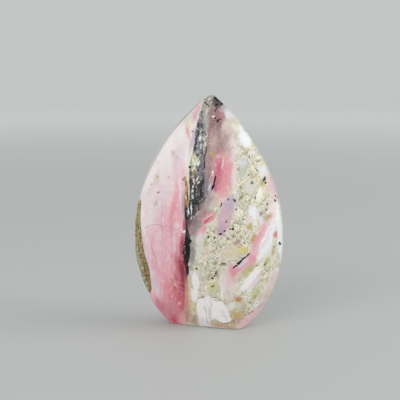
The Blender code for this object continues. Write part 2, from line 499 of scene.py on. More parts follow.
def warped(place, size, push, detail=2.0):
    """The place pushed about by noise, by about a third of push (mm)."""
    stir = grain(place, size, detail, output="Color")
    centred = Field.node("VectorMath", {"operation": "SUBTRACT"}, {0: stir, 1: (0.5, 0.5, 0.5)})
    scaled = Field.node("VectorMath", {"operation": "MULTIPLY"}, {0: centred, 1: push})
    return Field.node("VectorMath", {"operation": "ADD"}, {0: place, 1: scaled})


def nearness(place, x, z, long, wide, lean, deep):
    """1 at a mark's middle, 0.5 on its edge, 0 beyond. Lean is its long axis above level."""
    sockets = {
        "Vector": place,
        "Location": (x, front_at(x, z), z),
        "Rotation": (0.0, -np.radians(lean), 0.0),
        "Scale": (2 * long, 2 * deep, 2 * wide),
    }
    inside = Field.node("Mapping", {"vector_type": "TEXTURE"}, sockets)
    return Field.node("TexGradient", {"gradient_type": "SPHERICAL"}, {0: inside}, "Fac")


MARKS_PER_GROUP = 24


def lay_marks(colour, place, marks, deep, rag):
    """Lays marks over a colour: across, up, half length, half width, lean, colour, softness.
    Rag is added to the nearness, so that the edges crumble."""

    def lay_some(some):
        def build(colour, place, rag):
            for x, z, long, wide, lean, name, soft in some:
                near = nearness(place, x, z, long, wide, lean, deep) + rag
                colour = over(near.ramp(0.5 - soft / 2, 0.5 + soft / 2), colour, name)
            return colour

        return build

    for start in range(0, len(marks), MARKS_PER_GROUP):
        fields = {"colour": colour, "place": place, "rag": rag}
        colour = Field.group("marks", fields, lay_some(marks[start : start + MARKS_PER_GROUP]))
    return colour


def nearest(place, marks, deep):
    """Nearness to the nearest of many small marks: across, up, half length, half width, lean."""

    def build(place):
        near = None
        for x, z, long, wide, lean in marks:
            here = nearness(place, x, z, long, wide, lean, deep)
            near = here if near is None else near.highest(here)
        return near

    return Field.group("nearest", {"place": place}, build)


CONTACTS_FROM, CONTACTS_SPAN = -15.0, 20.0


def contact(up, heights_down, across_mm):
    """A contact between layers as a curve over height. Node curves only run from 0 to 1."""
    points = [(h / HEIGHT, (x - CONTACTS_FROM) / CONTACTS_SPAN) for h, x in zip(heights_down, across_mm)]
    curve = Field.node("FloatCurve", {"curve": points}, {"Value": up * (1 / HEIGHT)})
    return curve * CONTACTS_SPAN + CONTACTS_FROM


opal = bpy.data.materials.new("pink_opal")
opal.use_nodes = True
Field.tree = opal.node_tree
shader = opal.node_tree.nodes["Principled BSDF"]

coordinates = Field.node("TexCoord", {}, {}, "Object")
mm = moved(coordinates, Scale=(1000.0, 1000.0, 1000.0))
axes = Field.node("SeparateXYZ", {}, {0: mm})
depth, up = axes.out("Y"), axes.out("Z")

# Layers lean back behind the middle of the stone, so they come out elsewhere on the back
lean_back = depth.highest(0.0) * -LAYER_TILT
sideways = Field.node("CombineXYZ", {}, {0: lean_back})
layers = Field.node("VectorMath", {"operation": "ADD"}, {0: mm, 1: sideways})

# How far the marks reach into the stone from the front, in mm
SLAB_DEEP, VEIN_DEEP, BIT_DEEP, CRACK_DEEP = 60.0, 12.0, 10.0, 8.0
SEAM_DEEP, LATE_DEEP, DOT_DEEP, PEPPER_DEEP = 5.0, 6.0, 5.0, 16.0

# Pink and white opal on the left: its broad layers, then the crack across them and the fine threads
SLAB_MARKS = (
    (-17.2, 55.0, 16.0, 6.6, 84, "blush", 0.6),
    (-20.0, 22.0, 29.0, 11.0, 92, "rose", 0.35),
    (-17.0, 15.0, 17.0, 3.9, 90, "foot_coral", 0.8),
    (-14.6, 25.0, 19.4, 2.3, 91, "brick", 0.8),
    (-22.5, 79.5, 19.5, 4.2, 62, "milk", 0.5),
    (-26.7, 58.5, 11.0, 4.2, 85, "milk_pink", 0.4),
    (-29.2, 32.5, 16.0, 1.6, 101, "lilac_white", 0.5),
    (-26.0, 21.5, 8.0, 2.3, 108, "lilac_white", 0.6),
    (-23.0, 9.0, 4.2, 2.1, 125, "magenta", 0.6),
    (-13.6, 53.5, 16.0, 5.4, 80, "rose", 0.5),
    (-12.6, 71.8, 5.0, 2.2, 90, "pale_rose", 0.9),
    (-14.4, 63.5, 8.5, 1.5, 82, "salmon", 0.7),
    (-16.2, 54.0, 5.6, 1.4, 84, "salmon", 0.8),
    (-22.3, 43.4, 10.5, 3.0, 90, "rose_light", 1.0),
    (-18.6, 29.0, 5.0, 1.8, 92, "rose", 0.9),
    (-17.7, 9.5, 4.0, 2.0, 96, "dusty_rose", 0.9),
    (-12.8, 70.0, 4.0, 1.4, 96, "pale_rose", 0.8),
    (-13.6, 75.0, 6.0, 2.0, 94, "blush", 1.0),
    (-15.5, 90.0, 6.0, 3.0, 64, "milk", 0.9),
    (-13.4, 82.0, 5.5, 2.4, 76, "lilac_blush", 1.0),
    (-22.5, 66.0, 8.0, 3.4, 78, "lilac_blush", 1.0),
    (-12.6, 63.5, 7.8, 0.7, 92, "lilac_white", 0.5),
    (-11.4, 57.5, 7.3, 0.7, 92, "dull_mauve", 0.5),
    (-16.0, 43.0, 5.5, 1.0, 90, "blush", 0.6),
    (-10.9, 51.0, 3.7, 0.5, 86, "deep_red", 0.4),
    (-12.1, 37.8, 9.5, 1.6, 87, "deep_red", 0.5),
    (-11.8, 21.0, 12.0, 1.5, 93, "deep_red", 0.6),
    (-12.6, 12.0, 5.6, 1.4, 95, "brick", 0.5),
    (-17.6, 5.5, 8.0, 5.2, 100, "dusty_rose", 0.8),
    (-16.6, 2.6, 2.2, 1.8, 90, "brick", 0.9),
    (-12.8, 3.0, 2.0, 1.3, 90, "pale_rose", 1.0),
    (-15.4, 20.8, 1.0, 0.8, 30, "pale_rose", 0.9),
    (-13.6, 12.0, 1.2, 0.6, 60, "pale_rose", 1.0),
    (-17.0, 15.2, 0.9, 0.5, 60, "pale_rose", 0.7),
    (-5.2, 102.0, 4.2, 1.4, 62, "rose_pale", 0.7),
    (-3.4, 102.0, 4.2, 0.5, 76, "lilac_white", 0.4),
    (-9.5, 93.0, 3.0, 0.8, 100, "pale_rose", 0.9),
    (-9.2, 96.5, 2.3, 0.8, 95, "straw", 0.8),
    (-9.9, 99.0, 3.2, 0.9, 48, "cream", 0.7),
    (-24.6, 71.0, 1.1, 0.7, 30, "straw", 0.7),
    (-15.9, 83.5, 1.6, 1.1, 90, "grey_blush", 0.7),
    (-14.5, 81.5, 1.1, 0.8, 90, "grey_blush", 0.7),
    (-24.5, 59.5, 1.2, 0.8, 60, "grey_olive", 0.6),
    (-24.0, 71.5, 1.8, 1.1, 90, "cream_rose", 0.9),
)
SLAB_LINES = (
    (-28.2, 48.3, 1.7, 0.16, 25, "crack", 0.7),
    (-25.7, 49.5, 1.1, 0.16, 15, "crack", 0.7),
    (-23.0, 49.4, 1.8, 0.15, 161, "crack", 0.7),
    (-20.4, 49.0, 1.3, 0.14, 0, "crack", 0.7),
    (-16.4, 48.9, 3.0, 0.18, 163, "crack", 0.5),
    (-21.6, 51.5, 10.0, 0.15, 90, "thread", 0.7),
    (-17.0, 46.0, 8.0, 0.15, 91, "thread", 0.7),
    (-25.7, 36.5, 6.0, 0.18, 104, "thread", 0.7),
    (-23.0, 29.7, 1.6, 0.18, 138, "thread", 0.7),
    (-20.5, 15.5, 3.8, 0.25, 90, "thread", 0.7),
    (-6.1, 99.7, 2.7, 0.14, 122, "crack", 0.6),
)
crumbs = warped(warped(mm, 3.0, (1.6, 1.6, 2.0)), 0.9, (0.8, 0.8, 1.0))
silk = warped(moved(layers, Scale=(1.0, 0.3, 0.16)), 2.5, (1.4, 0.0, 0.9), 3.0)
silk = moved(silk, Scale=(1.0, 3.3, 6.25))
threads = grain(moved(silk, Scale=(1.0, 0.15, 0.06)), 0.9, 3.0, 0.6)
veils = grain(moved(silk, Scale=(1.0, 0.5, 0.4)), 3.5, 3.0, 0.6)
slab = lay_marks(over(threads, "milk_pink", "milk"), silk, SLAB_MARKS, SLAB_DEEP, (threads - 0.5) * 0.4)
# The layers are calmer high up
calm = up.ramp(42.0, 72.0)
slab = over(threads.ramp(0.52, 0.76) * 0.35, slab, "milk_pink")
slab = over(threads.fade(0.26, 0.48) * (0.42 - calm * 0.34), slab, "salmon")
slab = over(veils.ramp(0.5, 0.7) * up.ramp(2.0, 30.0) * (0.4 - calm * 0.2), slab, "milk_pink")
clouds = grain(moved(crumbs, Location=(0.0, 0.0, 40.0)), 3.2, 4.0, 0.6)
slab = over(clouds.ramp(0.5, 0.68) * up.ramp(0.0, 26.0) * 0.3, slab, "milk")
slab = over(clouds.fade(0.34, 0.48) * (0.3 - calm * 0.15), slab, "pale_rose")
slab = lay_marks(slab, crumbs, SLAB_LINES, CRACK_DEEP, (threads - 0.5) * 0.3)

# Dark vein between the layers and the breccia: its paler patches, then its blackest places
VEIN_MARKS = (
    (-1.0, 103.0, 7.4, 2.6, 84, "stone_grey", 0.4),
    (-1.1, 92.5, 8.3, 1.5, 84, "stone_grey", 0.5),
    (-0.1, 108.5, 2.1, 1.9, 30, "grey_brown", 0.5),
    (-3.8, 89.5, 7.8, 1.4, 80, "slate_light", 0.4),
    (-7.6, 84.5, 6.0, 0.5, 80, "lilac_grey", 0.4),
    (-6.1, 80.0, 3.2, 2.3, 70, "straw_green", 0.5),
    (-9.1, 77.5, 12.0, 0.6, 82, "cream_line", 0.35),
    (-3.8, 76.5, 5.9, 1.6, 88, "grey_lilac", 0.5),
    (-6.3, 74.5, 2.1, 0.9, 80, "tan", 0.4),
)
BLACK_MARKS = (
    (-9.7, 39.5, 6.0, 1.2, 92),
    (-8.4, 42.8, 1.0, 0.8, 20),
    (-10.0, 31.0, 5.4, 0.9, 96),
    (-9.7, 49.5, 2.8, 0.3, 90),
    (-9.1, 53.7, 1.9, 1.0, 70),
    (-8.0, 54.7, 1.1, 0.6, 60),
    (-8.6, 59.0, 1.8, 0.35, 88),
    (-6.9, 59.8, 1.5, 0.45, 90),
    (-4.0, 58.3, 1.4, 0.35, 55),
    (-5.9, 62.1, 2.0, 0.25, 90),
    (-6.1, 67.1, 1.6, 0.3, 95),
    (-3.2, 61.5, 0.7, 0.3, 60),
    (-2.0, 63.0, 0.8, 0.35, 40),
    (-3.6, 64.9, 1.5, 0.4, 113),
    (-3.4, 69.3, 2.5, 0.9, 63),
    (-3.5, 67.2, 3.2, 0.7, 92),
    (-2.4, 71.0, 1.2, 0.55, 90),
    (-8.2, 70.3, 2.0, 0.5, 90),
    (2.5, 69.5, 3.9, 0.5, 76),
    (-5.6, 88.8, 3.9, 0.4, 72),
    (-1.2, 84.2, 3.0, 0.45, 76),
    (-1.7, 78.6, 2.6, 0.3, 84),
    (-4.6, 95.8, 1.2, 0.4, 62),
    (-3.1, 95.8, 1.3, 0.4, 122),
    (-2.3, 92.8, 1.3, 0.3, 14),
    (-1.1, 92.1, 0.8, 0.3, 128),
    (-4.5, 92.7, 1.4, 0.4, 96),
    (-5.9, 92.2, 0.5, 0.3, 60),
    (-6.3, 85.9, 1.8, 0.3, 95),
    (-8.5, 77.2, 0.7, 0.5, 0),
    (-6.8, 77.5, 0.5, 0.3, 0),
    (-5.4, 77.1, 0.5, 0.4, 0),
    (-2.5, 76.3, 0.5, 0.4, 0),
)
streaks = grain(moved(warped(layers, 2.0, (1.2, 1.2, 1.2)), Scale=(1.0, 0.5, 0.3)), 0.9, 3.0, 0.6)
grit = grain(moved(crumbs, Scale=(1.0, 0.6, 0.55)), 0.75, 2.0, 0.6)
# The vein turns to plain grey towards the tip
core = up.fade(90.0, 103.0)
vein = over(streaks.ramp(0.36, 0.62), "slate", "mauve_grey")
vein = lay_marks(vein, crumbs, VEIN_MARKS, VEIN_DEEP, (streaks - 0.5) * 0.7)
low = over(streaks.ramp(0.42, 0.58), "night", "dusk_slate")
vein = over(up.fade(69.0, 76.0) * 0.9, vein, low)
vein = Field.node("HueSaturation", {}, {"Value": (grit - 0.5) * (core * 1.4 + 0.7) + 0.9, "Color": vein})
vein = over(grit.ramp(0.58, 0.66) * (core * 0.45 + 0.1), vein, "grit_white")
vein = over(streaks.ramp(0.62, 0.7) * core * 0.6, vein, "cream_line")
vein = over(streaks.fade(0.36, 0.43) * core * 0.9, vein, "black")

# Breccia on the right: the mauve zone below the tip, then soft tints under the broken bits
MAUVE_MARKS = (
    (2.5, 93.0, 14.0, 4.6, 86),
    (0.0, 76.0, 9.0, 3.0, 88),
    (3.6, 99.5, 5.5, 2.8, 100),
    (3.5, 88.5, 8.3, 3.0, 84),
    (7.6, 86.4, 4.1, 2.4, 100),
)
ZONE_MARKS = (
    (9.1, 93.8, 4.6, 3.6, 120, "cream_rose", 0.6),
    (8.2, 89.3, 3.7, 2.3, 100, "taupe_pink", 0.7),
    (4.3, 91.5, 2.1, 1.1, 100, "mauve_pink", 0.9),
    (5.9, 100.0, 2.3, 1.6, 120, "mauve_pink", 0.9),
    (10.9, 84.0, 6.0, 2.6, 80, "shell_pink", 0.6),
    (-0.2, 61.2, 4.4, 2.6, 55, "taupe_pink", 0.6),
    (-1.5, 55.5, 5.5, 2.7, 60, "warm_grey", 0.6),
    (-1.0, 66.8, 6.2, 1.9, 86, "dusk_grey", 0.8),
    (-6.9, 49.8, 5.8, 2.6, 76, "mauve_taupe", 0.9),
    (-6.2, 52.6, 3.4, 1.4, 62, "mauve_shadow", 1.0),
    (-7.8, 47.5, 2.4, 0.7, 84, "mauve_pink", 0.9),
    (-2.6, 55.3, 2.5, 1.3, 60, "mauve_pink", 0.8),
    (1.8, 59.8, 2.7, 1.8, 60, "warm_cream", 0.6),
    (-0.8, 61.6, 3.6, 1.7, 55, "warm_grey", 0.7),
    (10.4, 38.0, 4.1, 2.7, 30, "sand", 0.8),
    (29.0, 20.4, 7.4, 2.5, 62, "pink_white", 0.6),
    (28.8, 36.5, 6.4, 2.8, 60, "pale_cream", 0.6),
    (-3.6, 40.8, 5.0, 1.9, 76, "pale_stone", 0.6),
    (-7.5, 37.5, 7.5, 1.5, 85, "ash", 0.8),
    (1.7, 52.1, 3.2, 1.8, 50, "cream", 0.6),
    (10.6, 11.6, 2.7, 2.1, 30, "pale_stone", 0.7),
    (-6.7, 3.4, 2.6, 2.4, 0, "foot_tan", 1.0),
    (15.5, 4.6, 4.6, 2.6, 40, "tan_spot", 0.9),
    (10.5, 8.6, 2.6, 1.6, 60, "tan_spot", 0.9),
    (12.1, 9.6, 2.0, 0.6, 80, "ochre", 1.0),
    (13.0, 6.3, 1.4, 0.8, 20, "tan_spot", 0.8),
    (11.6, 4.4, 2.2, 0.8, 20, "foot_tan", 0.9),
    (16.9, 12.0, 1.9, 1.7, 60, "grey_olive", 0.9),
    (6.3, 72.1, 9.1, 4.1, 86, "pink_band", 0.6),
    (11.4, 98.0, 2.8, 1.7, 125, "warm_cream", 0.8),
    (8.9, 84.6, 2.8, 1.7, 90, "rose_taupe", 0.9),
    (2.7, 88.8, 3.4, 1.4, 86, "rose_taupe", 1.0),
    (4.8, 97.0, 3.2, 1.3, 100, "mauve_brown", 1.0),
)
# The broken bits, roughly from the tip down, with a white strip down the right rim that is partly painted
# highlight. A later one lies over an earlier one.
BRECCIA_MARKS = (
    (4.5, 106.5, 3.3, 2.8, 140, "dark_taupe", 0.45),
    (7.8, 103.0, 2.1, 1.4, 130, "lilac_grey", 0.5),
    (9.6, 101.3, 2.4, 1.5, 120, "cool_grey", 0.8),
    (12.2, 94.9, 1.8, 1.0, 130, "pale_cream", 0.9),
    (17.3, 89.5, 4.0, 3.1, 106, "cool_white", 0.25),
    (0.8, 68.0, 3.4, 0.8, 84, "lilac_grey", 0.8),
    (6.6, 73.5, 9.0, 4.2, 86, "coral", 0.5),
    (4.5, 74.5, 7.4, 1.9, 84, "deep_coral", 0.8),
    (3.4, 68.0, 2.3, 0.8, 80, "plum", 0.5),
    (6.7, 79.0, 2.7, 0.4, 82, "blush", 0.4),
    (12.0, 72.0, 6.4, 1.2, 88, "shell_pink", 0.8),
    (15.8, 78.8, 2.3, 1.7, 70, "cool_grey", 0.8),
    (15.9, 74.6, 3.2, 1.7, 60, "mid_grey", 0.8),
    (18.7, 67.6, 3.4, 2.2, 110, "pale_stone", 1.0),
    (25.2, 75.4, 4.2, 2.1, 122, "lilac_cool", 0.5),
    (30.0, 66.9, 5.8, 2.2, 109, "rim_rose", 0.8),
    (29.8, 55.0, 5.5, 2.5, 92, "shell_pink", 0.6),
    (7.8, 54.5, 8.8, 3.1, 75, "lilac_rose", 0.16),
    (10.6, 61.0, 3.2, 2.3, 75, "lilac", 0.7),
    (6.0, 48.5, 2.7, 2.0, 75, "dusk_lilac", 0.7),
    (0.4, 54.0, 3.9, 1.8, 44, "coral", 0.2),
    (-0.5, 53.0, 2.5, 0.7, 44, "deep_coral", 0.4),
    (0.6, 55.0, 2.7, 0.3, 40, "blush", 0.4),
    (-2.9, 48.0, 2.8, 1.6, 50, "pale_rose", 0.3),
    (-4.1, 44.5, 2.7, 1.4, 70, "shell_pink", 0.5),
    (20.6, 56.4, 3.4, 2.2, 100, "cool_white", 0.5),
    (24.0, 54.5, 3.4, 1.2, 100, "lilac_cool", 0.6),
    (18.9, 53.0, 1.8, 1.4, 90, "shell_pink", 0.5),
    (26.7, 41.5, 5.9, 2.5, 66, "cool_white", 0.45),
    (27.9, 46.0, 6.0, 2.8, 66, "cool_white", 0.4),
    (23.2, 35.6, 3.6, 1.6, 60, "warm_white", 0.5),
    # Partly white opal, partly a painted highlight of the right window along the right rim
    (33.3, 46.5, 13.8, 1.4, 94, "cool_white", 0.4),
    (24.3, 55.6, 1.2, 0.7, 80, "tan", 0.9),
    (24.6, 44.6, 7.2, 2.3, 63, "foot_pink", 0.9),
    (23.7, 44.7, 6.6, 1.3, 63, "pink_band", 0.8),
    (23.1, 44.4, 5.8, 0.7, 63, "rose_band", 0.9),
    (26.2, 45.0, 5.5, 0.5, 62, "milk", 0.8),
    (21.3, 38.4, 1.8, 1.2, 50, "pink_band", 0.9),
    (16.6, 32.2, 7.7, 2.5, 38, "rose_band", 0.22),
    (17.9, 30.8, 5.4, 0.9, 38, "coral", 0.5),
    (15.8, 33.1, 3.6, 1.1, 37, "lilac_white", 0.4),
    (16.3, 30.2, 5.4, 0.4, 38, "blush", 0.4),
    (9.5, 26.0, 4.6, 1.5, 88, "foot_pink", 1.0),
    (10.9, 29.6, 2.4, 1.2, 96, "rose_band", 0.7),
    (12.0, 27.6, 2.2, 1.1, 60, "coral", 0.8),
    (12.1, 24.6, 2.0, 0.7, 76, "tan_rose", 1.0),
    (11.4, 23.0, 2.4, 0.9, 62, "foot_pink", 1.0),
    (13.4, 43.0, 1.8, 1.0, 40, "taupe_pink", 0.3),
    (16.0, 39.0, 2.1, 1.6, 20, "yellow_cream", 0.6),
    (21.0, 44.5, 2.1, 1.0, 75, "amber_tan", 0.5),
    (-1.5, 42.5, 2.0, 0.7, 80, "olive_gold", 0.6),
    (19.3, 50.0, 1.6, 1.0, 60, "olive_gold", 0.5),
    (24.9, 68.6, 2.2, 1.0, 76, "gold", 0.6),
    (24.2, 64.5, 3.6, 1.2, 78, "worm", 0.6),
    (28.0, 53.8, 1.9, 1.1, 30, "tan_rose", 0.8),
    (23.4, 64.5, 3.4, 0.8, 74, "warm_white", 0.5),
    (25.0, 78.0, 1.3, 0.8, 50, "green_gold", 0.7),
    (2.0, 83.0, 1.4, 0.6, 78, "gold", 0.9),
    (31.4, 45.7, 1.6, 1.1, 84, "red_spot", 0.6),
    (30.6, 38.3, 2.5, 1.0, 74, "olive_cream", 0.8),
    (30.2, 37.9, 1.8, 0.4, 74, "ochre", 0.8),
    (30.9, 38.9, 0.9, 0.3, 80, "worm", 0.6),
    (27.3, 33.2, 2.4, 0.9, 62, "olive_cream", 0.8),
    (27.0, 32.8, 1.4, 0.4, 62, "ochre", 0.8),
    (18.6, 29.4, 4.8, 1.4, 39, "olive_cream", 0.8),
    (17.4, 28.2, 3.6, 0.6, 38, "olive_pale", 0.9),
    (19.7, 29.8, 1.2, 0.7, 45, "olive_gold", 0.5),
    (6.7, 32.4, 1.3, 0.7, 20, "bark", 0.8),
    (22.5, 31.6, 0.5, 0.3, 0, "bark", 0.6),
    (13.7, 26.6, 2.3, 1.1, 38, "cream_rose", 0.6),
    (-5.9, 23.5, 4.8, 1.6, 96, "white_rose", 0.25),
    (-6.5, 16.5, 3.5, 1.8, 92, "white_rose", 0.3),
    (6.8, 23.4, 6.8, 2.0, 92, "rose_white", 0.4),
    (6.6, 18.6, 6.0, 0.35, 92, "warm_white", 0.5),
    (19.7, 25.3, 7.6, 1.9, 52, "warm_white", 0.4),
    (11.0, 21.5, 2.7, 1.8, 60, "shell_pink", 0.6),
    (-9.6, 11.5, 10.2, 1.7, 90, "peach", 0.8),
    (-10.2, 20.5, 5.2, 1.0, 88, "amber_rose", 0.8),
    (-10.5, 14.0, 5.5, 0.8, 89, "amber_pink", 0.9),
    (-10.2, 5.8, 4.2, 1.2, 90, "foot_brown", 0.9),
    (-6.0, 10.0, 2.8, 0.7, 84, "olive_pale", 0.6),
    (-2.2, 8.5, 7.1, 3.2, 99, "white_rose", 0.2),
    (2.8, 10.8, 5.4, 3.2, 80, "white_rose", 0.2),
    (6.4, 8.9, 6.6, 3.1, 118, "white_rose", 0.16),
    (6.6, 5.4, 3.9, 1.7, 165, "white_rose", 0.2),
    (0.1, 14.3, 2.6, 1.5, 88, "white_rose", 0.3),
    (-2.4, 2.8, 2.1, 2.1, 90, "lilac_cool", 0.4),
    (7.6, 7.0, 2.8, 1.0, 120, "lilac_cool", 1.0),
    (4.0, 14.6, 1.4, 0.6, 165, "warm_cream", 0.6),
    (6.6, 1.8, 5.5, 1.0, 176, "tan_rose", 0.5),
    (2.0, 21.5, 2.7, 1.9, 60, "green_gold", 0.6),
    (0.2, 26.0, 1.6, 0.7, 65, "tan_spot", 0.8),
    (14.2, 15.5, 1.6, 1.3, 0, "peach", 0.9),
    (14.1, 15.5, 1.1, 0.9, 0, "orange", 0.8),
    (9.0, 14.3, 2.3, 0.9, 0, "warm_cream", 0.9),
    (22.0, 17.5, 2.7, 1.5, 64, "green_grey", 0.6),
    (13.5, 7.3, 2.3, 1.4, 35, "ochre", 0.6),
    (10.7, 11.4, 2.2, 1.6, 60, "pale_cream", 0.8),
    (19.6, 5.3, 8.2, 2.4, 42, "foot_pink", 0.5),
    (27.2, 16.0, 3.2, 1.4, 60, "cream_rose", 0.6),
    (21.3, 23.2, 3.6, 0.8, 50, "lilac_blush", 0.9),
    (21.7, 18.3, 1.6, 0.9, 62, "green_gold", 0.9),
    (21.6, 16.2, 0.8, 0.5, 62, "olive_gold", 0.9),
    (17.8, 16.5, 1.7, 0.3, 158, "warm_white", 0.7),
    (27.0, 16.0, 0.7, 0.6, 60, "peach", 0.8),
    (24.5, 11.6, 1.9, 0.7, 42, "lilac_rose", 0.9),
    (25.3, 13.8, 1.4, 0.7, 55, "lilac_blush", 0.9),
    (14.7, 5.6, 0.7, 0.4, 20, "coral", 0.8),
)
# Thin seams round the bits
BRECCIA_LINES = (
    (30.7, 39.8, 0.9, 0.3, 100, "bark", 0.5),
    (26.1, 32.2, 0.9, 0.3, 60, "bark", 0.5),
    (-1.3, 8.8, 2.5, 0.18, 106, "warm_grey", 0.6),
    (-0.4, 4.1, 2.1, 0.18, 110, "mauve_taupe", 0.6),
    (1.2, 10.0, 5.0, 0.2, 92, "stone_grey", 0.7),
    (-3.7, 15.3, 1.6, 0.2, 16, "tan", 0.6),
    (2.9, 16.3, 1.3, 0.2, 172, "seam", 0.6),
    (5.2, 15.4, 1.6, 0.2, 145, "seam", 0.6),
    (7.6, 13.7, 1.0, 0.15, 118, "tan", 0.7),
    (0.5, 7.2, 3.2, 0.5, 96, "cool_grey", 1.0),
    (4.2, 3.5, 2.4, 0.22, 172, "seam", 0.5),
    (8.9, 3.1, 2.1, 0.22, 10, "seam", 0.5),
    (10.7, 8.5, 3.4, 0.14, 116, "mid_grey", 0.6),
    (-2.7, 15.7, 0.9, 0.35, 10, "seam", 0.7),
    (18.2, 4.9, 0.7, 0.16, 130, "tan", 0.7),
)
# Black grains
DOTS = (
    (3.5, 108.0, 1.4, 0.4, 130),
    (4.3, 107.0, 0.7, 0.4, 140),
    (3.8, 105.2, 0.6, 0.5, 0),
    (6.1, 105.6, 0.9, 0.5, 100),
    (5.0, 107.1, 0.5, 0.3, 0),
    (4.0, 103.8, 0.6, 0.3, 50),
    (3.4, 102.9, 0.4, 0.3, 0),
    (-0.6, 105.5, 1.7, 0.25, 136),
    (-0.9, 106.1, 0.5, 0.3, 100),
    (-2.7, 102.6, 0.6, 0.25, 70),
    (-3.0, 100.8, 0.5, 0.25, 70),
    (-2.4, 99.9, 0.5, 0.3, 120),
    (4.4, 98.1, 0.8, 0.4, 40),
    (2.9, 99.1, 0.4, 0.3, 0),
    (2.4, 98.0, 0.4, 0.25, 30),
    (2.6, 96.3, 0.4, 0.25, 0),
    (5.6, 98.8, 0.3, 0.25, 0),
    (-7.1, 93.1, 0.4, 0.3, 0),
    (-3.2, 86.3, 0.35, 0.3, 0),
    (-5.9, 92.3, 0.4, 0.3, 0),
    (26.1, 71.2, 1.2, 0.4, 66),
    (26.4, 69.2, 0.6, 0.4, 60),
    (31.2, 61.3, 0.6, 0.4, 150),
    (31.4, 62.8, 0.3, 0.2, 0),
    (32.5, 61.9, 0.3, 0.2, 60),
    (27.0, 57.2, 0.4, 0.4, 0),
    (27.4, 59.5, 0.4, 0.3, 45),
    (21.7, 63.2, 0.9, 0.2, 88),
    (18.7, 73.3, 0.4, 0.25, 0),
    (9.1, 62.4, 0.5, 0.4, 0),
    (11.9, 61.8, 1.1, 0.3, 130),
    (5.9, 59.9, 1.0, 0.3, 62),
    (12.8, 57.8, 0.5, 0.3, 30),
    (5.5, 46.5, 0.9, 0.5, 10),
    (7.6, 47.8, 0.7, 0.3, 55),
    (8.1, 52.2, 0.3, 0.2, 60),
    (10.2, 48.9, 0.5, 0.4, 0),
    (11.4, 48.7, 0.5, 0.4, 70),
    (9.2, 44.5, 0.4, 0.4, 0),
    (3.2, 44.9, 0.4, 0.3, 60),
    (3.5, 43.1, 0.4, 0.3, 0),
    (11.5, 45.5, 0.3, 0.3, 0),
    (6.0, 40.7, 0.3, 0.2, 0),
    (2.3, 38.5, 0.4, 0.3, 0),
    (3.8, 35.1, 0.4, 0.3, 0),
    (15.7, 53.3, 0.4, 0.3, 20),
    (18.4, 36.7, 1.2, 0.3, 40),
    (16.4, 35.2, 1.4, 0.5, 44),
    (14.5, 33.3, 1.4, 0.5, 44),
    (12.5, 31.2, 1.5, 0.4, 40),
    (33.3, 40.8, 0.7, 0.4, 110),
    (-5.3, 29.6, 0.5, 0.4, 0),
    (3.6, 28.2, 0.7, 0.3, 76),
    (3.0, 26.8, 0.5, 0.25, 60),
    (1.9, 25.7, 0.6, 0.25, 30),
    (-0.1, 45.1, 0.5, 0.3, 60),
    (19.7, 13.4, 0.6, 0.2, 150),
)
